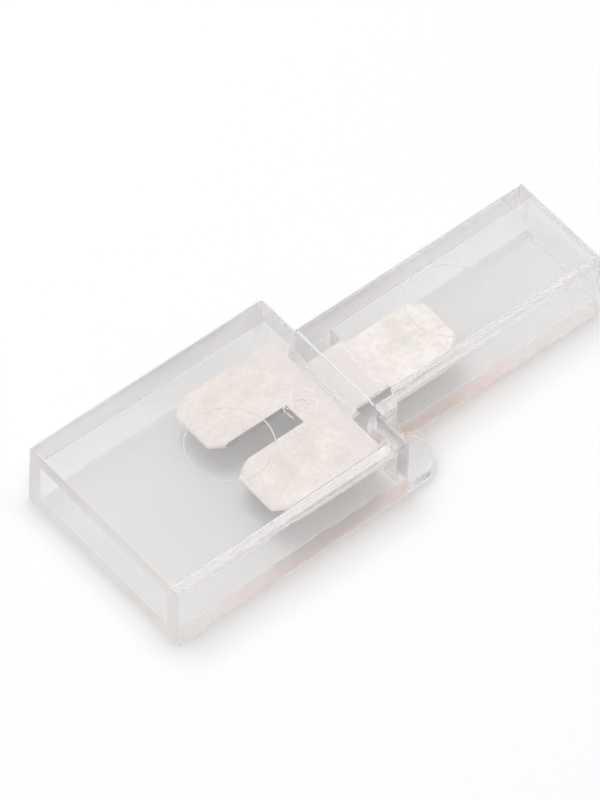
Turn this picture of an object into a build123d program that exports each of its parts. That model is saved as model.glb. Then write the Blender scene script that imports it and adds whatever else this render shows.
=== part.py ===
from build123d import *
import os
from math import radians, tan

os.makedirs("parts", exist_ok=True)

# A three-way spade connector. One stamped blade plate sits in a clear moulded housing.
# The wide end takes two female spade terminals side by side, and the narrow end takes one.
# Z is up and the base lies at z = 0. X runs from the wide end to the narrow end.
# x = 0 is where the narrow body leaves the end face of the wide one.

# Driving dimensions in millimetres

# Flat tabs of the 6.3 by 0.8 series
tab_width = 6.3
tab_thickness = 0.8
tab_gap = 2.4
tip_cut_along = 1.4
tip_cut_across = 0.95
tip_bevel = 0.2
slot_depth = 8.1
shoulder_corner_radius = 0.5

# How far the tabs stand out of the solid plastic into each socket
wide_tab_reach = 11.7
narrow_tab_reach = 9.4

# Wide body, with room for the terminals beside the pair of tabs
wide_length = 26.2
wide_height = 7.45
wide_side_wall = 1.6
wide_side_room = 1.2

# Narrow body, with room for the terminal beside the single tab
narrow_length = 26.2
narrow_height = 7.7
narrow_side_wall = 1.4
narrow_side_room = 1.1

# Walls and sockets of both bodies
floor_wall = 1.5
socket_height = 4.45
end_wall = 1.0
web_length = 2.9

# Mould draft in degrees, of the outer faces and of the socket cores
draft = 1.15
core_draft = 0.3

# Rounds on the outer edges
top_edge_round = 0.3
end_corner_round = 0.45

# Clearance of the blade plate against the plastic, on each face
plate_clearance = 0.03

# Rounded tongue in the corner between the two bodies
tongue_reach = 4.1
tongue_thickness = 1.1
tongue_lift = 0.25
tongue_inset = 0.1
tongue_flat = 0.55
tongue_root = 0.6

# Moulding marks on the top faces: a fine ring on each body and the gate
witness_diameter = 8.0
witness_line = 0.12
witness_depth = 0.04
witness_from_junction = 12.5
gate_diameter = 1.2
gate_depth = 0.12
gate_from_junction = 4.9
witness_offset = -0.5
gate_offset = -1.1

# Widths that follow from the driving dimensions: tabs, room beside them, and side walls over the base
bridge_width = 2 * tab_width + tab_gap
wide_socket_width = bridge_width + 2 * wide_side_room
wide_width = wide_socket_width + 2 * wide_side_wall
narrow_socket_width = tab_width + 2 * narrow_side_room
narrow_width = narrow_socket_width + 2 * narrow_side_wall

# Places that follow from the driving dimensions
plate_middle = floor_wall + socket_height / 2
plate_floor = plate_middle - tab_thickness / 2
tab_pitch = tab_width + tab_gap
shoulder_x = -end_wall - plate_clearance
wide_tip_x = -end_wall - wide_tab_reach
narrow_tip_x = web_length + narrow_tab_reach
slot_end_x = wide_tip_x + slot_depth
wide_lean = wide_height * tan(radians(draft))

# How far a cutter stands past the face that it leaves through, and how near counts as the same place
spill = 2.0
near = 0.01


def drafted_block(x_low, x_high, width, height):
    """Return a block over its base outline, with all four sides leaning in by the draft."""
    base = Pos((x_low + x_high) / 2, 0) * Rectangle(x_high - x_low, width)
    return extrude(base, height, taper=draft)


def between(solid, x_low, x_high):
    """Return what lies between two upright planes across X."""
    size = solid.bounding_box().size
    slab = Pos((x_low + x_high) / 2, 0) * Box(x_high - x_low, 2 * size.Y, 3 * size.Z)
    return solid & slab


def upright_edges(solid):
    """Return the edges that climb from the base to the top."""
    height = solid.bounding_box().size.Z
    return solid.edges().filter_by(lambda edge: edge.bounding_box().size.Z > height / 2)


def socket(x_mouth, x_bottom, width):
    """Return the space that a core leaves, which narrows towards its bottom by the core draft."""
    inward = 1 if x_bottom > x_mouth else -1
    mouth_plane = Plane(origin=(x_mouth, 0, plate_middle), x_dir=(0, 1, 0), z_dir=(inward, 0, 0))
    return extrude(mouth_plane * Rectangle(width, socket_height), abs(x_bottom - x_mouth), taper=core_draft)


def tab_outline(x_root, x_tip, y_middle):
    """Return the flat outline of one tab, with its two tip corners cut off."""
    outward = 1 if x_tip > x_root else -1
    x_cut = x_tip - outward * tip_cut_along
    half = tab_width / 2
    tip_half = half - tip_cut_across
    points = [
        (x_root, y_middle - half),
        (x_cut, y_middle - half),
        (x_tip, y_middle - tip_half),
        (x_tip, y_middle + tip_half),
        (x_cut, y_middle + half),
        (x_root, y_middle + half),
    ]
    return make_face(Polyline(points, close=True))


def witness_ring(x_middle, height):
    """Return the fine ring that a mould insert leaves in a top face."""
    line = Circle((witness_diameter + witness_line) / 2) - Circle((witness_diameter - witness_line) / 2)
    return Pos(x_middle, witness_offset, height - witness_depth) * extrude(line, 2 * witness_depth)


# Blade plate: a fork of two tabs, a shoulder, and a single tab on a straight neck
bridge = Pos((slot_end_x + shoulder_x) / 2, 0) * Rectangle(shoulder_x - slot_end_x, bridge_width)
bridge = fillet(bridge.vertices().sort_by(Axis.X)[-2:], shoulder_corner_radius)
plate_outline = bridge + tab_outline(slot_end_x, wide_tip_x, tab_pitch / 2)
plate_outline += tab_outline(slot_end_x, wide_tip_x, -tab_pitch / 2)
plate_outline += tab_outline(slot_end_x, narrow_tip_x, 0)
blade_plate = Pos(0, 0, plate_floor) * extrude(plate_outline, tab_thickness)

# Coined bevels on both faces lead each tip into its terminal
tip_edges = []
for edge in blade_plate.edges():
    place = edge.center()
    flat = abs(place.Z - plate_middle) > tab_thickness / 4
    at_wide_tip = place.X < wide_tip_x + tip_cut_along - near
    at_narrow_tip = place.X > narrow_tip_x - tip_cut_along + near
    if flat and (at_wide_tip or at_narrow_tip):
        tip_edges.append(edge)
blade_plate = chamfer(tip_edges, tip_bevel)

# Outer body of the wide end, with rounds along its top and down the two corners of its end face
wide_block = drafted_block(-wide_length - spill, wide_lean, wide_width, wide_height)
wide_block = fillet(upright_edges(wide_block).sort_by(Axis.X)[-2:], end_corner_round)
wide_block = fillet(wide_block.faces().sort_by(Axis.Z)[-1].edges(), top_edge_round)
wide_body = between(wide_block, -wide_length, wide_lean)

# Outer body of the narrow end, with rounds along its top, and its root level with the wide top
narrow_block = drafted_block(-spill, narrow_length + spill, narrow_width, narrow_height)
narrow_block = fillet(narrow_block.faces().sort_by(Axis.Z)[-1].edges(), top_edge_round)
narrow_body = between(narrow_block, 0, narrow_length)
root_block = drafted_block(-spill, narrow_length + spill, narrow_width, wide_height)
narrow_root = between(root_block, -top_edge_round, 0)
housing = wide_body + narrow_body + narrow_root

# Tongue low in the corner between the two bodies, rooted in both
tongue_side = -wide_width / 2 + tongue_inset
tongue_back = -narrow_width / 2 + tongue_root
tongue_width = tongue_back - tongue_side
tongue_radius = (tongue_width - tongue_flat) / 2
tongue_middle = Pos((tongue_reach - tongue_root) / 2, (tongue_side + tongue_back) / 2)
tongue = tongue_middle * Rectangle(tongue_reach + tongue_root, tongue_width)
tongue = fillet(tongue.vertices().sort_by(Axis.X)[-2:], tongue_radius)
housing += Pos(0, 0, tongue_lift) * extrude(tongue, tongue_thickness)

# Sockets, one core from each end, with solid plastic left between them
housing -= socket(-wide_length, -end_wall, wide_socket_width)
housing -= socket(narrow_length, web_length, narrow_socket_width)

# Slot through the solid plastic for the neck of the blade plate
slot_width = tab_width + 2 * plate_clearance
slot_height = tab_thickness + 2 * plate_clearance
slot_length = end_wall + web_length
slot_middle = (web_length - end_wall) / 2
housing -= Pos(slot_middle, 0, plate_middle) * Box(slot_length + 2 * near, slot_width, slot_height)

# Moulding marks
housing -= witness_ring(-witness_from_junction, wide_height)
housing -= witness_ring(witness_from_junction, narrow_height)
gate = extrude(Circle(gate_diameter / 2), 2 * gate_depth)
housing -= Pos(-gate_from_junction, gate_offset, wide_height - gate_depth) * gate

export_step(housing, "parts/housing.step")
export_step(blade_plate, "parts/blade_plate.step")
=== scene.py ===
# %% [markdown]
# # A three-way spade connector in clear plastic
#
# The real object is two pieces: a clear moulded housing, and a stamped blade plate of pale metal
# inside it. Almost everything that the eye sees is plastic bending the light, so the shapes must be
# exact and closed, and the light must come from the right side. The exact shapes come from the
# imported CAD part. This script adds the finishes, the fine marks of the mould, the light and the
# camera.

# %% Load the fixed frame
from math import cos, pi, radians, sin

import bpy
from mathutils import Matrix, Vector


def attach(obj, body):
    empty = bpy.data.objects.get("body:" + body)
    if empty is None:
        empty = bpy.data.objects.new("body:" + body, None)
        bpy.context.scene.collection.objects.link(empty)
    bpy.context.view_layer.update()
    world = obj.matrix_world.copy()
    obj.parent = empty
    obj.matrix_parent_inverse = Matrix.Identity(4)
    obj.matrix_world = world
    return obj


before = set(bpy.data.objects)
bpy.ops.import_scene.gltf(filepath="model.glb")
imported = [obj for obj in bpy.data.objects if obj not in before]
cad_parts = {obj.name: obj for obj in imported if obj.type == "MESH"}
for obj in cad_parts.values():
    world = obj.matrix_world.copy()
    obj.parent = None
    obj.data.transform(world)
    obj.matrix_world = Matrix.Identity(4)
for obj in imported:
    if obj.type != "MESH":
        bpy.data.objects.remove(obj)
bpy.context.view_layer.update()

MM = 0.001
scene = bpy.context.scene
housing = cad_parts["housing"]
blade_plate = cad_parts["blade_plate"]

# %% [markdown]
# ## What the marks need to know about the part
#
# The marks of the mould lie on the top faces, and the metal is duller where plastic closes round
# it. Both need a few heights, so they are read from the meshes instead of being typed in again. The
# wide body lies at x below zero, and the two bodies meet at x = 0.

# %% Heights read from the part
WELL_BEFORE_JUNCTION = -5 * MM

wide_top = max(v.co.z for v in housing.data.vertices if v.co.x < WELL_BEFORE_JUNCTION)
narrow_top = max(v.co.z for v in housing.data.vertices)
mouth_x = max(v.co.x for v in housing.data.vertices)
plate_low = min(v.co.z for v in blade_plate.data.vertices)
plate_high = max(v.co.z for v in blade_plate.data.vertices)
for name, height in (("wide top", wide_top), ("narrow top", narrow_top), ("plate underside", plate_low)):
    print(name, "in mm:", round(height / MM, 3))

# %% [markdown]
# ## Small helpers
#
# Colours are easiest to write as the hex values of a paint program, which are sRGB. The shaders
# work in linear light, so one function turns the one into the other. A second function adds a node,
# sets it up and links it, in any kind of node tree. The third starts a material with an empty tree,
# and the fourth hangs one on a CAD piece.

# %% Helpers for colours and nodes
def linear(hex_colour):
    """Return the linear RGBA values of an sRGB hex colour."""
    channels = [int(hex_colour[i:i + 2], 16) / 255 for i in (1, 3, 5)]
    return tuple(c / 12.92 if c <= 0.04045 else ((c + 0.055) / 1.055) ** 2.4 for c in channels) + (1.0,)


def add_node(tree, kind, values=(), links=(), **settings):
    """Add a node, give it settings and input values, and link other nodes' outputs to its inputs."""
    node = tree.nodes.new(kind)
    for name, value in settings.items():
        setattr(node, name, value)
    for socket, value in dict(values).items():
        node.inputs[socket].default_value = value
    for socket, output in dict(links).items():
        tree.links.new(output, node.inputs[socket])
    return node


def new_material(name):
    """Return an empty node material and its tree."""
    material = bpy.data.materials.new(name)
    material.use_nodes = True
    material.node_tree.nodes.clear()
    return material, material.node_tree


def finish_with(piece, material):
    """Give a CAD piece one material and say so."""
    piece.data.materials.clear()
    piece.data.materials.append(material)
    print(piece.name, "is finished with", material.name, "of", len(material.node_tree.nodes), "nodes")


print("white is", linear("#FFFFFF"))

# %% [markdown]
# ## The clear plastic
#
# The housing is injection-moulded from a clear plastic such as polycarbonate, which hardly swallows
# any light. So the base colour is white, the transmission is full, and no diffuse share is mixed
# in: even a few per cent would turn the walls that guide light from end to end nearly black. What
# makes the plastic visible is bent light alone.
#
# Four things keep it from looking like optical glass:
#
# - The polish of the mould is good but uneven, so the roughness varies a little over a millimetre
#   or two.
# - The rims of the two mouths are satin, less clear than the faces beside them.
# - The base is ground matt in the mould, so it scatters what the paper sends up into the floor
#   wall.
# - Near the brass plate, the low edges and the near faces above them carry a faint peach tint,
#   a painted reflection of the brass, which fades upwards.

# %% Measures of the plastic
PLASTIC_IOR = 1.5
TINT_PER_MM = 0.002
HAZE_LENGTH = 1.5 * MM
POLISH, DULLEST_POLISH, SATIN_RIM, MATT_BASE = 0.05, 0.08, 0.35, 0.6
SKIN = 0.02 * MM
FLOOR_WALL = 1.5 * MM
print("floor wall in mm:", FLOOR_WALL / MM)

# %% Clear plastic, injection-moulded: gives bent light, soft haze, satin rims and a matt base
plastic, tree = new_material("clear_plastic_moulded")
coords = add_node(tree, "ShaderNodeTexCoord").outputs["Object"]
place = add_node(tree, "ShaderNodeSeparateXYZ", links={"Vector": coords}).outputs
haze = add_node(tree, "ShaderNodeTexNoise", {"Scale": 1 / HAZE_LENGTH, "Detail": 3.0}, {"Vector": coords})
polish = add_node(
    tree, "ShaderNodeMapRange", {"To Min": POLISH, "To Max": DULLEST_POLISH}, {"Value": haze.outputs["Fac"]},
)
along = add_node(tree, "ShaderNodeMath", links={0: place["X"]}, operation="ABSOLUTE")
at_mouth = add_node(
    tree, "ShaderNodeMath", {1: mouth_x - SKIN}, {0: along.outputs["Value"]}, operation="GREATER_THAN",
)
satin = add_node(
    tree, "ShaderNodeMix", {"B": SATIN_RIM},
    {"Factor": at_mouth.outputs["Value"], "A": polish.outputs["Result"]},
)
on_base = add_node(tree, "ShaderNodeMath", {1: SKIN}, {0: place["Z"]}, operation="LESS_THAN")
roughness = add_node(
    tree, "ShaderNodeMix", {"B": MATT_BASE},
    {"Factor": on_base.outputs["Value"], "A": satin.outputs["Result"]},
)
print("roughness runs from", POLISH, "to", MATT_BASE)

# %% [markdown]
# ## The painted reflection of the brass
#
# Low on the near side, where the plastic stands beside the brass plate, it looks faintly peach: the
# brass is seen there by reflection, and that reflection is painted into the plastic's colour. A
# second material on a few faces would end in a hard line, and the mesh of a CAD piece stays as it
# is. So the painted reflection is a mask: a number from 0 to 1 for each place on the surface, worked
# out from its object coordinates. Each node below answers one question, such as how near the plate
# is, and the answers are multiplied.
#
# The base is left out, because every look through the plastic ends there, and a peach base would
# turn the whole floor peach. The tongue is left out too. Above the floor wall only the outer near
# faces take part, and the painted reflection fades upwards. The near face of the narrow body lies a
# little more than 5.3 mm from the middle, and that of the wide body more than 4.2 mm further out.

# %% Painted reflection of the brass on the low edges near the plate
REFLECTION_FULL, REFLECTION_GONE, FAR_REFLECTION = 13 * MM, 22 * MM, 0.4
NEAR_SIDE, FAR_SIDE = -5 * MM, -4 * MM
TONGUE_BEYOND = -6 * MM

low_edge = add_node(
    tree, "ShaderNodeMath", {1: FLOOR_WALL / 2, 2: FLOOR_WALL / 2 - SKIN}, {0: place["Z"]},
    operation="COMPARE",
)
near_plate = add_node(
    tree, "ShaderNodeMapRange", {"From Min": REFLECTION_GONE, "From Max": REFLECTION_FULL, "To Min": FAR_REFLECTION},
    {"Value": along.outputs["Value"]},
)
near_side = add_node(
    tree, "ShaderNodeMapRange", {"From Min": FAR_SIDE, "From Max": NEAR_SIDE}, {"Value": place["Y"]},
)
on_wide = add_node(tree, "ShaderNodeMath", {1: 0.0}, {0: place["X"]}, operation="LESS_THAN")
on_narrow = add_node(tree, "ShaderNodeMath", {1: TONGUE_BEYOND}, {0: place["Y"]}, operation="GREATER_THAN")
off_tongue = add_node(
    tree, "ShaderNodeMath", links={0: on_wide.outputs["Value"], 1: on_narrow.outputs["Value"]},
    operation="MAXIMUM",
)
print("blush ends at", REFLECTION_GONE / MM, "mm from the junction")

# %% The painted reflection fades upwards on the near faces and is cloudy
REFLECTION_TOP = 2.7 * MM
NARROW_FACE, WIDE_BEYOND_NARROW = -5.3 * MM, -4.2 * MM
REFLECTION_LENGTH, THINNEST_REFLECTION = 5 * MM, 0.5

face_y = add_node(
    tree, "ShaderNodeMath", {1: WIDE_BEYOND_NARROW, 2: NARROW_FACE}, {0: on_wide.outputs["Value"]},
    operation="MULTIPLY_ADD",
)
on_face = add_node(
    tree, "ShaderNodeMath", links={0: place["Y"], 1: face_y.outputs["Value"]}, operation="LESS_THAN",
)
fading = add_node(
    tree, "ShaderNodeMapRange", {"From Min": REFLECTION_TOP, "From Max": FLOOR_WALL}, {"Value": place["Z"]},
)
off_base = add_node(
    tree, "ShaderNodeMath", links={0: fading.outputs["Result"], 1: on_base.outputs["Value"]},
    operation="SUBTRACT", use_clamp=True,
)
face_share = add_node(
    tree, "ShaderNodeMath", links={0: on_face.outputs["Value"], 1: off_base.outputs["Value"]},
    operation="MULTIPLY",
)
painted_reflection_zone = add_node(
    tree, "ShaderNodeMath", links={0: low_edge.outputs["Value"], 1: face_share.outputs["Value"]},
    operation="MAXIMUM",
)
cloudy = add_node(tree, "ShaderNodeTexNoise", {"Scale": 1 / REFLECTION_LENGTH, "Detail": 2.0}, {"Vector": coords})
cloud = add_node(
    tree, "ShaderNodeMapRange", {"From Min": 0.35, "From Max": 0.6, "To Min": THINNEST_REFLECTION},
    {"Value": cloudy.outputs["Fac"]},
)
shares = (
    near_plate.outputs["Result"], near_side.outputs["Result"], off_tongue.outputs["Value"],
    cloud.outputs["Result"],
)
painted_brass_reflection = painted_reflection_zone.outputs["Value"]
for share in shares:
    painted_brass_reflection = add_node(
        tree, "ShaderNodeMath", links={0: painted_brass_reflection, 1: share}, operation="MULTIPLY",
    ).outputs["Value"]
# Painted reflection: peach is mixed into the white where the brass plate is seen by reflection.
brass_reflection_tint = add_node(
    tree, "ShaderNodeMix", {"A": linear("#FFFFFF"), "B": linear("#FFDECE")}, {"Factor": painted_brass_reflection},
    data_type="RGBA",
)
print("nodes of the plastic so far:", len(tree.nodes))

# %% [markdown]
# ## The shader of the plastic
#
# One Principled shader with full transmission gives both the mirrored and the bent light. Its index
# of refraction, 1.5, lies between those of acrylic and polycarbonate. A very weak volume absorption
# warms the light that travels a long way inside, as it does along the edges of a real moulding. A
# tint on the surface alone would act again at each of the many bounces, and far too strongly.

# %% The plastic's own shader
surface = add_node(
    tree, "ShaderNodeBsdfPrincipled", {"IOR": PLASTIC_IOR, "Transmission Weight": 1.0},
    {"Base Color": brass_reflection_tint.outputs["Result"], "Roughness": roughness.outputs["Result"]},
)
tint = add_node(tree, "ShaderNodeVolumeAbsorption", {"Color": linear("#FFCFC0"), "Density": TINT_PER_MM / MM})
add_node(
    tree, "ShaderNodeOutputMaterial",
    links={"Surface": surface.outputs["BSDF"], "Volume": tint.outputs["Volume"]},
)
finish_with(housing, plastic)

# %% [markdown]
# ## The blade metal
#
# The plate is stamped from brass strip with a thin tin coating. The coating is pale and warm, with
# a fine grain and some broad, slightly greyer patches. The single tab looks whiter and finely
# speckled, with one faint rubbed mark across it. The cut edges face sideways and get less light, so
# they are painted the palest of all, as painted light. The walls of the slot between the two tabs
# are painted greyer and the underside darker, as painted shade. Where solid plastic closes round the
# neck, the metal is painted duller than in the open sockets, as painted shade. The real grain is
# finer than a pixel, so it is drawn a little coarser.

# %% Tinned brass strip, stamped: gives a pale, warm and mottled sheen
GRAIN, PATCH = 0.3 * MM, 2.4 * MM
LEAST_GRAIN, MOST_GRAIN = 0.97, 1.03

metal, tree = new_material("tinned_brass_strip_stamped")
coords = add_node(tree, "ShaderNodeTexCoord").outputs["Object"]
place = add_node(tree, "ShaderNodeSeparateXYZ", links={"Vector": coords}).outputs
patches = add_node(
    tree, "ShaderNodeTexNoise", {"Scale": 1 / PATCH, "Detail": 4.0, "Roughness": 0.65},
    {"Vector": coords},
)
patch_colour = add_node(tree, "ShaderNodeValToRGB", links={"Fac": patches.outputs["Fac"]})
greyer, paler = patch_colour.color_ramp.elements
greyer.position, greyer.color = 0.35, linear("#E6DFDA")
paler.position, paler.color = 0.65, linear("#F3EDE9")

grain = add_node(tree, "ShaderNodeTexNoise", {"Scale": 1 / GRAIN, "Detail": 2.0}, {"Vector": coords})
grain_level = add_node(
    tree, "ShaderNodeMapRange",
    {"From Min": 0.3, "From Max": 0.7, "To Min": LEAST_GRAIN, "To Max": MOST_GRAIN},
    {"Value": grain.outputs["Fac"]},
)
grained = add_node(
    tree, "ShaderNodeVectorMath",
    links={0: patch_colour.outputs["Color"], "Scale": grain_level.outputs["Result"]}, operation="SCALE",
)
print("grain and patch in mm:", GRAIN / MM, PATCH / MM)

# %% [markdown]
# ## Where the metal differs
#
# The plate is one stamped piece, so it keeps one material, and its differences are masks again. The
# tab, the neck, the cut faces, the walls of the slot and the underside are told apart by where they
# lie. The rubbed mark is an ellipse, and the patch noise makes its rim ragged. Painting all this by
# hand would need an image, which could not follow a change of size.

# %% The whiter, speckled single tab
SPECKLE = 0.9 * MM
END_WALL, WEB_END = 1.0 * MM, 2.9 * MM
TAB_FADE, TAB_SHARE = 0.15 * MM, 0.8

on_tab = add_node(
    tree, "ShaderNodeMapRange",
    {"From Min": WEB_END - TAB_FADE, "From Max": WEB_END + TAB_FADE, "To Max": TAB_SHARE},
    {"Value": place["X"]},
)
speckle = add_node(
    tree, "ShaderNodeTexNoise", {"Scale": 1 / SPECKLE, "Detail": 4.0, "Roughness": 0.7}, {"Vector": coords},
)
tab_colour = add_node(tree, "ShaderNodeValToRGB", links={"Fac": speckle.outputs["Fac"]})
duller, brighter = tab_colour.color_ramp.elements
duller.position, duller.color = 0.35, linear("#EDE4DD")
brighter.position, brighter.color = 0.6, linear("#FEFAF7")
whiter_tab = add_node(
    tree, "ShaderNodeMix",
    links={
        "Factor": on_tab.outputs["Result"],
        "A": grained.outputs["Vector"],
        "B": tab_colour.outputs["Color"],
    }, data_type="RGBA",
)
print("speckle in mm:", SPECKLE / MM)

# %% Masks for the painted shade on the neck and the rubbed mark
SOLID_MIDDLE, SOLID_HALF = (WEB_END - END_WALL) / 2, (WEB_END + END_WALL) / 2
SOLID_FADE, SOLID_SHARE = 2.5 * MM, 0.75
RUB_PLACE = (8.0 * MM, 0.6 * MM, 0.0)
RUB_HALF_LENGTH, RUB_HALF_WIDTH = 1.1 * MM, 2.2 * MM
RUB_CORE, RUB_RIM, RUB_SHARE = 1.0, 1.7, 0.6

from_solid = add_node(tree, "ShaderNodeMath", {1: SOLID_MIDDLE}, {0: place["X"]}, operation="SUBTRACT")
off_middle = add_node(tree, "ShaderNodeMath", links={0: from_solid.outputs["Value"]}, operation="ABSOLUTE")
# Painted shade: the neck, where solid plastic closes round the metal.
painted_neck_shade = add_node(
    tree, "ShaderNodeMapRange",
    {"From Min": SOLID_HALF + SOLID_FADE, "From Max": SOLID_HALF, "To Max": SOLID_SHARE},
    {"Value": off_middle.outputs["Value"]},
)
from_rub = add_node(tree, "ShaderNodeVectorMath", {1: RUB_PLACE}, {0: coords}, operation="SUBTRACT")
rub_units = add_node(
    tree, "ShaderNodeVectorMath", {1: (1 / RUB_HALF_LENGTH, 1 / RUB_HALF_WIDTH, 0.0)},
    {0: from_rub.outputs["Vector"]}, operation="MULTIPLY",
)
rub_reach = add_node(tree, "ShaderNodeVectorMath", links={0: rub_units.outputs["Vector"]}, operation="LENGTH")
ragged = add_node(
    tree, "ShaderNodeMath", links={0: rub_reach.outputs["Value"], 1: patches.outputs["Fac"]},
    operation="ADD",
)
rub = add_node(
    tree, "ShaderNodeMapRange", {"From Min": RUB_RIM, "From Max": RUB_CORE, "To Max": RUB_SHARE},
    {"Value": ragged.outputs["Value"]},
)
print("rubbed mark in mm:", 2 * RUB_HALF_LENGTH / MM, "by", 2 * RUB_HALF_WIDTH / MM)

# %% Masks for the painted light on the cut faces and the painted shade on the slot walls and the underside
FACE_SKIN = 0.005 * MM
SLOT_HALF = 1.25 * MM

# Painted shade: the underside, darkened so that the shadow below the plate reads deeper.
painted_underside_shade = add_node(
    tree, "ShaderNodeMath", {1: plate_low + FACE_SKIN}, {0: place["Z"]}, operation="LESS_THAN",
)
below_top = add_node(
    tree, "ShaderNodeMath", {1: plate_high - FACE_SKIN}, {0: place["Z"]}, operation="LESS_THAN",
)
across = add_node(tree, "ShaderNodeMath", links={0: place["Y"]}, operation="ABSOLUTE")
by_slot = add_node(
    tree, "ShaderNodeMath", {1: SLOT_HALF}, {0: across.outputs["Value"]}, operation="LESS_THAN",
)
in_fork = add_node(tree, "ShaderNodeMath", {1: 0.0}, {0: place["X"]}, operation="LESS_THAN")
# Painted shade: the walls of the slot between the two tabs.
painted_slot_shade = below_top.outputs["Value"]
for mask in (by_slot, in_fork):
    painted_slot_shade = add_node(
        tree, "ShaderNodeMath", links={0: painted_slot_shade, 1: mask.outputs["Value"]}, operation="MULTIPLY",
    ).outputs["Value"]
print("slot width in mm:", 2 * SLOT_HALF / MM)

# %% The plate's colours, one over the other, and its shader
METALLIC, SMOOTHEST, ROUGHEST = 0.6, 0.5, 0.7

layers = (
    # Painted shade on the neck.
    ("#E9E4E3", painted_neck_shade.outputs["Result"]),
    ("#E3DED9", rub.outputs["Result"]),
    # Painted light: the cut faces below the top are lifted to the palest colour.
    ("#FDF6F2", below_top.outputs["Value"]),
    # Painted shade on the walls of the slot.
    ("#D0CFCF", painted_slot_shade),
    # Painted shade on the underside of the plate.
    ("#ABAAA9", painted_underside_shade.outputs["Value"]),
)
colour = whiter_tab.outputs["Result"]
for hex_colour, mask in layers:
    colour = add_node(
        tree, "ShaderNodeMix", {"B": linear(hex_colour)}, {"Factor": mask, "A": colour}, data_type="RGBA",
    ).outputs["Result"]
rough = add_node(
    tree, "ShaderNodeMapRange", {"To Min": SMOOTHEST, "To Max": ROUGHEST}, {"Value": patches.outputs["Fac"]},
)
surface = add_node(
    tree, "ShaderNodeBsdfPrincipled", {"Metallic": METALLIC},
    {"Base Color": colour, "Roughness": rough.outputs["Result"]},
)
add_node(tree, "ShaderNodeOutputMaterial", links={"Surface": surface.outputs["BSDF"]})
finish_with(blade_plate, metal)

# %% [markdown]
# ## Fine marks of the mould, and a painted highlight
#
# Where a mould insert meets the cavity, a hair of plastic creeps into the gap. It stays on the part
# as a thin frosted line, one ring on each top face. Round the gate, where the plastic ran in, a few
# short curled flow marks remain. All of them scatter light, so they show pale against the shadows.
# Their frost is uneven, because the gap was. The white line where the narrow body stands up from
# the wide one is a painted highlight on the small step, drawn as the same dense white frost.

# %% Frosted plastic: gives a broken white line in place of a clear one
FROST_LENGTH = 1.2 * MM
FINEST_FROST, COARSEST_FROST = 0.3, 0.9
THIN_CLEAR_SHARE, DENSE_CLEAR_SHARE = 0.45, 0.0


def frosted_plastic(name, clear_share):
    """Return white frosted plastic that lets a given share of the light through."""
    material, tree = new_material(name)
    coords = add_node(tree, "ShaderNodeTexCoord").outputs["Object"]
    uneven = add_node(
        tree, "ShaderNodeTexNoise", {"Scale": 1 / FROST_LENGTH, "Detail": 2.0}, {"Vector": coords},
    )
    frost = add_node(
        tree, "ShaderNodeMapRange",
        {"From Min": 0.35, "From Max": 0.65, "To Min": FINEST_FROST, "To Max": COARSEST_FROST},
        {"Value": uneven.outputs["Fac"]},
    )
    surface = add_node(
        tree, "ShaderNodeBsdfPrincipled",
        {"Base Color": linear("#FFFFFF"), "IOR": PLASTIC_IOR, "Transmission Weight": clear_share},
        {"Roughness": frost.outputs["Result"]},
    )
    add_node(tree, "ShaderNodeOutputMaterial", links={"Surface": surface.outputs["BSDF"]})
    print(name, "lets through", clear_share)
    return material


thin_frost = frosted_plastic("frosted_plastic_thin", THIN_CLEAR_SHARE)
# The dense frost serves the gate's flow marks and the painted highlight on the junction step.
frost_and_painted_glint = frosted_plastic("frosted_plastic_and_painted_glint", DENSE_CLEAR_SHARE)

# %% [markdown]
# ## From a node tree to a plain mesh
#
# Each kind of mark repeats or follows a path, so Geometry Nodes lay it out. A tree has a named
# input for every size, so the same tree serves other parts. Once the tree has run, its result is
# kept as a plain mesh and the modifier goes, so that nothing can change it later.

# %% Baking a node tree into a piece
SOCKET_KINDS = {int: "NodeSocketInt", float: "NodeSocketFloat", tuple: "NodeSocketVector"}


def new_tree(name, sizes):
    """Return a geometry tree with a named input for each size, and the outputs of its input node."""
    tree = bpy.data.node_groups.new(name, "GeometryNodeTree")
    for label, value in sizes.items():
        tree.interface.new_socket(label, in_out="INPUT", socket_type=SOCKET_KINDS[type(value)])
    tree.interface.new_socket("Geometry", in_out="OUTPUT", socket_type="NodeSocketGeometry")
    return tree, tree.nodes.new("NodeGroupInput").outputs


def bake_piece(name, tree, sizes, geometry, material):
    """End the tree, run it with the given sizes and keep the result as a plain mesh object at the origin."""
    real = add_node(tree, "GeometryNodeRealizeInstances", links={"Geometry": geometry})
    dressed = add_node(
        tree, "GeometryNodeSetMaterial", {"Material": material}, {"Geometry": real.outputs["Geometry"]},
    )
    add_node(tree, "NodeGroupOutput", links={"Geometry": dressed.outputs["Geometry"]})
    maker = bpy.data.objects.new(name + "_maker", bpy.data.meshes.new(name + "_maker"))
    scene.collection.objects.link(maker)
    modifier = maker.modifiers.new("layout", "NODES")
    modifier.node_group = tree
    for socket in tree.interface.items_tree:
        if socket.in_out == "INPUT":
            modifier[socket.identifier] = sizes[socket.name]
    evaluated = maker.evaluated_get(bpy.context.evaluated_depsgraph_get())
    mesh = bpy.data.meshes.new_from_object(evaluated)
    maker.modifiers.remove(modifier)
    bpy.data.objects.remove(maker)
    mesh.name = name
    piece = bpy.data.objects.new(name, mesh)
    scene.collection.objects.link(piece)
    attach(piece, "root")
    print(name, "has", len(mesh.polygons), "faces")


print("a size may be", ", ".join(kind.__name__ for kind in SOCKET_KINDS))

# %% [markdown]
# ## Witness rings
#
# Each body carries one ring on its top face, where a round insert of the mould ended. A torus has a
# round section and would stand too high, so a circle is swept with a flat rectangle instead. Both
# rings are alike, so one is made and set on two points. The second point lies higher, because the
# narrow body is taller. The real hair of plastic is finer than a pixel, so it is drawn about a
# tenth of a millimetre wide.

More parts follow.
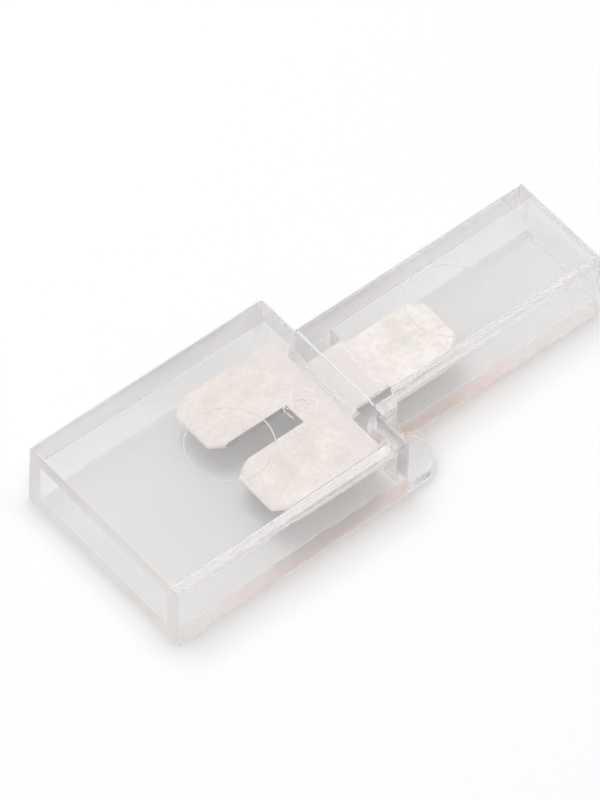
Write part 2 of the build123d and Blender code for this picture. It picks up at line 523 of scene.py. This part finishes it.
# %% Witness rings
FLASH_WIDTH, FLASH_SUNK, FLASH_PROUD = 0.13 * MM, 0.03 * MM, 0.01 * MM
FLASH_MIDDLE = (FLASH_PROUD - FLASH_SUNK) / 2
RING_FROM_JUNCTION = 12.5 * MM
RING_OFFSET = -0.5 * MM

ring_sizes = {
    "Ring Radius": 4.0 * MM,
    "Line Width": FLASH_WIDTH,
    "Line Height": FLASH_SUNK + FLASH_PROUD,
    "First Ring": (-RING_FROM_JUNCTION, RING_OFFSET, wide_top + FLASH_MIDDLE),
    "To Next Ring": (2 * RING_FROM_JUNCTION, 0.0, narrow_top - wide_top),
    "Rings": 2,
    "Segments": 96,
}
tree, size = new_tree("witness_rings", ring_sizes)
circle = add_node(
    tree, "GeometryNodeCurvePrimitiveCircle",
    links={"Resolution": size["Segments"], "Radius": size["Ring Radius"]},
)
section = add_node(
    tree, "GeometryNodeCurvePrimitiveQuadrilateral",
    links={"Width": size["Line Width"], "Height": size["Line Height"]},
)
ring = add_node(
    tree, "GeometryNodeCurveToMesh",
    links={"Curve": circle.outputs["Curve"], "Profile Curve": section.outputs["Curve"]},
)
places = add_node(
    tree, "GeometryNodeMeshLine",
    links={"Count": size["Rings"], "Start Location": size["First Ring"], "Offset": size["To Next Ring"]},
)
rings = add_node(
    tree, "GeometryNodeInstanceOnPoints",
    links={"Points": places.outputs["Mesh"], "Instance": ring.outputs["Mesh"]},
)
bake_piece("witness_rings", tree, ring_sizes, rings.outputs["Instances"], thin_frost)

# %% [markdown]
# ## The painted highlight on the junction step
#
# The narrow body stands a quarter of a millimetre higher than the wide one. The small step between
# them catches the light as a fine white line over almost its whole width. This highlight is painted
# on as a flat strip of dense white frost that stands on the step. It follows no curve, so a box with
# a named size for each side makes it.

# %% Painted highlight on the small step between the two top faces
junction_glint_sizes = {
    "Line Thickness": 0.1 * MM,
    "Line Length": 10.3 * MM,
    "Line Height": narrow_top - wide_top,
    "Line Middle": (-0.04 * MM, 0.0, (narrow_top + wide_top) / 2 + FLASH_PROUD),
    "Segments": 40,
}
tree, size = new_tree("painted_junction_glint", junction_glint_sizes)
strip_size = add_node(
    tree, "ShaderNodeCombineXYZ",
    links={"X": size["Line Thickness"], "Y": size["Line Length"], "Z": size["Line Height"]},
)
strip = add_node(
    tree, "GeometryNodeMeshCube",
    links={"Size": strip_size.outputs["Vector"], "Vertices Y": size["Segments"]},
)
laid = add_node(
    tree, "GeometryNodeTransform",
    links={"Geometry": strip.outputs["Mesh"], "Translation": size["Line Middle"]},
)
bake_piece("painted_junction_glint", tree, junction_glint_sizes, laid.outputs["Geometry"], frost_and_painted_glint)

# %% [markdown]
# ## Flow marks round the gate
#
# Plastic that cools while it flows leaves short curled lines round the place where it ran into the
# mould. Each is a short arc, swept with the same kind of flat section as the rings. Arcs set out by
# hand would look too regular, so they stand on a circle of points, one random number turns each of
# them and another sets its length. The seed is fixed, so every run gives the same marks.

# %% Curled flow marks round the gate
SWAY = 1.1
SHORTEST, LONGEST = 0.5, 1.3

gate_sizes = {
    "Marks": 11,
    "Seed": 4,
    "Circle Radius": 0.9 * MM,
    "Curl Radius": 0.7 * MM,
    "Curl Sweep": 0.35 * pi,
    "Mark Width": 0.1 * MM,
    "Mark Height": FLASH_SUNK + FLASH_PROUD,
    "Gate Place": (-4.9 * MM, -1.1 * MM, wide_top + FLASH_MIDDLE),
}
tree, size = new_tree("gate_marks", gate_sizes)
curl = add_node(
    tree, "GeometryNodeCurveArc", {"Resolution": 8},
    {"Radius": size["Curl Radius"], "Sweep Angle": size["Curl Sweep"]},
)
section = add_node(
    tree, "GeometryNodeCurvePrimitiveQuadrilateral",
    links={"Width": size["Mark Width"], "Height": size["Mark Height"]},
)
mark = add_node(
    tree, "GeometryNodeCurveToMesh", {"Fill Caps": True},
    {"Curve": curl.outputs["Curve"], "Profile Curve": section.outputs["Curve"]},
)
around = add_node(
    tree, "GeometryNodeMeshCircle", links={"Vertices": size["Marks"], "Radius": size["Circle Radius"]},
)
index = add_node(tree, "GeometryNodeInputIndex")
turn_step = add_node(tree, "ShaderNodeMath", {0: 2 * pi}, {1: size["Marks"]}, operation="DIVIDE")
outward = add_node(
    tree, "ShaderNodeMath", links={0: index.outputs["Index"], 1: turn_step.outputs["Value"]},
    operation="MULTIPLY",
)
sway = add_node(
    tree, "FunctionNodeRandomValue", {2: -SWAY, 3: SWAY}, {"Seed": size["Seed"]}, data_type="FLOAT",
)
heading = add_node(
    tree, "ShaderNodeMath", links={0: outward.outputs["Value"], 1: sway.outputs[1]}, operation="ADD",
)
rotation = add_node(tree, "ShaderNodeCombineXYZ", links={"Z": heading.outputs["Value"]})
next_seed = add_node(tree, "ShaderNodeMath", {1: 1.0}, {0: size["Seed"]}, operation="ADD")
length = add_node(
    tree, "FunctionNodeRandomValue", {2: SHORTEST, 3: LONGEST}, {"Seed": next_seed.outputs["Value"]},
    data_type="FLOAT",
)
stretch = add_node(tree, "ShaderNodeCombineXYZ", {"Z": 1.0}, {"X": length.outputs[1], "Y": length.outputs[1]})
marks = add_node(
    tree, "GeometryNodeInstanceOnPoints",
    links={
        "Points": around.outputs["Mesh"],
        "Instance": mark.outputs["Mesh"],
        "Rotation": rotation.outputs["Vector"],
        "Scale": stretch.outputs["Vector"],
    },
)
at_gate = add_node(
    tree, "GeometryNodeTransform",
    links={"Geometry": marks.outputs["Instances"], "Translation": size["Gate Place"]},
)
bake_piece("gate_marks", tree, gate_sizes, at_gate.outputs["Geometry"], frost_and_painted_glint)

# %% [markdown]
# ## The paper
#
# The connector lies on white paper. In the photograph the open paper is pure white, while the
# plastic shows the same paper one step darker, an even light grey. So the paper has a plain light
# grey colour, and only the camera's direct view of it is lifted to white. Close to the object,
# ambient occlusion fades that lift, which paints a contact shadow round its base on top of the
# shadow that the object casts. Mirrored and bent rays get a small lift too, so that the plastic
# shows the white ground.

# %% White paper: gives a soft white ground with a painted contact shadow
CAMERA_LIFT, THROUGH_LIFT = 0.22, 0.01
CONTACT_REACH, HALF_OPEN = 3.5 * MM, 0.5
PAPER_GAP = 0.05 * MM
PAPER_SIDE = 3.0

paper, tree = new_material("white_paper_floor")
diffuse = add_node(tree, "ShaderNodeBsdfDiffuse", {"Color": linear("#EBEBEB")})
path = add_node(tree, "ShaderNodeLightPath").outputs
through = add_node(
    tree, "ShaderNodeMath", links={0: path["Is Glossy Ray"], 1: path["Is Transmission Ray"]},
    operation="MAXIMUM",
)
# Painted contact shadow: ambient occlusion dims the camera's lift close to the object.
openness = add_node(tree, "ShaderNodeAmbientOcclusion", {"Distance": CONTACT_REACH}, samples=16)
lift_with_painted_shadow = add_node(
    tree, "ShaderNodeMapRange", {"From Min": HALF_OPEN, "To Max": CAMERA_LIFT},
    {"Value": openness.outputs["AO"]},
)
camera_lift = add_node(
    tree, "ShaderNodeMath", links={0: path["Is Camera Ray"], 1: lift_with_painted_shadow.outputs["Result"]},
    operation="MULTIPLY",
)
strength = add_node(
    tree, "ShaderNodeMath", {1: THROUGH_LIFT}, {0: through.outputs["Value"], 2: camera_lift.outputs["Value"]},
    operation="MULTIPLY_ADD",
)
glow = add_node(
    tree, "ShaderNodeEmission", {"Color": linear("#FFFFFF")}, {"Strength": strength.outputs["Value"]},
)
both = add_node(
    tree, "ShaderNodeAddShader", links={0: diffuse.outputs["BSDF"], 1: glow.outputs["Emission"]},
)
add_node(tree, "ShaderNodeOutputMaterial", links={"Surface": both.outputs["Shader"]})
bpy.ops.mesh.primitive_plane_add(size=PAPER_SIDE, location=(0, 0, -PAPER_GAP))
floor = bpy.context.object
floor.name = "floor"
floor.data.materials.append(paper)
print("paper side in mm:", PAPER_SIDE / MM)

# %% [markdown]
# ## Sky and lamp
#
# A bright tent surrounds the object, so the sky is the same from all sides. It gives about three
# quarters of the light, and that is why the shadows are soft and pale. One square lamp, high up and
# a little behind, gives the rest and pulls the shadow towards the viewer. It is small and stays
# near the middle: where a top face or the end of a socket mirrors it into the camera, a white glare
# would cover what lies below.

# %% Bright tent and overhead lamp
AMBIENT, SEEN_THROUGH, SEEN_BY_CAMERA = 0.71, 0.76, 1.0
LAMP_PLACE = (-0.02, 0.14, 0.45)
LAMP_SIDE, LAMP_WATTS = 0.24, 0.56

world = bpy.data.worlds.new("soft_studio")
scene.world = world
world.use_nodes = True
tree = world.node_tree
tree.nodes.clear()
path = add_node(tree, "ShaderNodeLightPath").outputs
through = add_node(
    tree, "ShaderNodeMath", links={0: path["Is Glossy Ray"], 1: path["Is Transmission Ray"]},
    operation="MAXIMUM",
)
around = add_node(
    tree, "ShaderNodeMapRange", {"To Min": AMBIENT, "To Max": SEEN_THROUGH},
    {"Value": through.outputs["Value"]},
)
strength = add_node(
    tree, "ShaderNodeMapRange", {"To Max": SEEN_BY_CAMERA},
    {"Value": path["Is Camera Ray"], "To Min": around.outputs["Result"]},
)
sky = add_node(
    tree, "ShaderNodeBackground", {"Color": linear("#FFFFFF")}, {"Strength": strength.outputs["Result"]},
)
add_node(tree, "ShaderNodeOutputWorld", links={"Surface": sky.outputs["Background"]})

lamp = bpy.data.lights.new("overhead", "AREA")
lamp.shape = "SQUARE"
lamp.size = LAMP_SIDE
lamp.energy = LAMP_WATTS
carrier = bpy.data.objects.new("overhead", lamp)
carrier.location = LAMP_PLACE
carrier.rotation_euler = (-Vector(LAMP_PLACE)).to_track_quat("-Z", "Y").to_euler()
scene.collection.objects.link(carrier)
print("lamp height in mm:", LAMP_PLACE[2] / MM)

# %% [markdown]
# ## The camera
#
# The camera was fitted to eleven corners of the outline in the photograph. It looks down by about
# 53 degrees, from the side of the wide mouth, and leans over by less than three degrees. It is far
# away and its lens is long, so the edges of the object stay nearly parallel.

# %% Camera fitted to the photograph
AZIMUTH, ELEVATION, ROLL = radians(-42.055), radians(52.759), radians(2.598)
DISTANCE = 698.1 * MM
AIM = Vector((-0.841, 3.565, 0)) * MM
FOCAL_PIXELS, IMAGE_HEIGHT, SENSOR = 7888.6, 800, 36.0

back = Vector((sin(AZIMUTH) * cos(ELEVATION), -cos(AZIMUTH) * cos(ELEVATION), sin(ELEVATION)))
right = Vector((cos(AZIMUTH), sin(AZIMUTH), 0))
up = back.cross(right)
leaning_right = cos(ROLL) * right + sin(ROLL) * up
leaning_up = cos(ROLL) * up - sin(ROLL) * right
lens = bpy.data.cameras.new("camera")
lens.sensor_fit = "VERTICAL"
lens.sensor_height = SENSOR
lens.lens = FOCAL_PIXELS / IMAGE_HEIGHT * SENSOR
camera = bpy.data.objects.new("camera", lens)
turn = Matrix((leaning_right, leaning_up, back)).transposed()
camera.matrix_world = Matrix.Translation(AIM + DISTANCE * back) @ turn.to_4x4()
scene.collection.objects.link(camera)
scene.camera = camera
print("lens in mm:", round(lens.lens, 1))

# %% [markdown]
# ## Colours and light paths
#
# The Standard view shows a colour about as it was written. A ray in a clear wall bounces many times
# before it leaves, and every ray that is stopped early leaves a black speck, so the bounce counts
# are high. Cycles also blurs rough reflections that come late in a path. In clear plastic that blur
# darkens the paper underneath to about half, so it is switched off.

# %% Light paths for clear plastic
scene.view_settings.view_transform = "Standard"
scene.cycles.max_bounces = 64
scene.cycles.transmission_bounces = 64
scene.cycles.glossy_bounces = 64
scene.cycles.diffuse_bounces = 16
scene.cycles.blur_glossy = 0.0
print("bounces:", scene.cycles.max_bounces)
